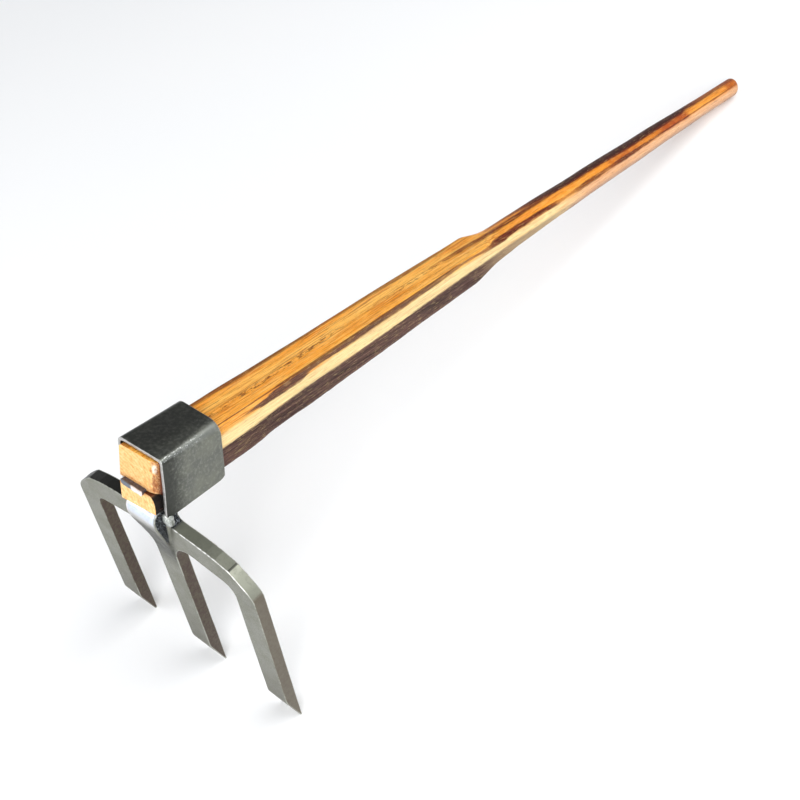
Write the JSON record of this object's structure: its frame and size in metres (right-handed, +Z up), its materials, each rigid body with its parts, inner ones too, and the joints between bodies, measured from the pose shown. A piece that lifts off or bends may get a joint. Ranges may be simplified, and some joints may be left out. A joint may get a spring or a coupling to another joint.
{
  "type": "hand cultivator",
  "caption": "Claw hoe for breaking soil: a flat forked steel head with chisel tips, held in a wedged square socket on a long wooden handle that turns round behind the shoulder.",
  "frame": {"origin": "centre of the bounding box's footprint, on the ground, with the tool resting on its outer tine tips and the butt of its handle", "axes": "+X across the fork, +Y from the head towards the butt of the handle, +Z up"},
  "size_m": [0.202, 0.8632, 0.2674],
  "materials": {
    "burnt_wood": "lacquered, scorched grain",
    "fork_steel": "satin grey",
    "strap_steel": "satin dark grey",
    "weld_metal": "bare, rippled",
    "wedge_steel": "mill scale, worn edges"
  },
  "bodies": {
    "root": {"handle": "burnt_wood", "tine_fork": "fork_steel", "socket_strap": "strap_steel", "weld_bead_left": "weld_metal", "weld_bead_right": "weld_metal", "head_wedge": "wedge_steel"}
  },
  "joints": []
}
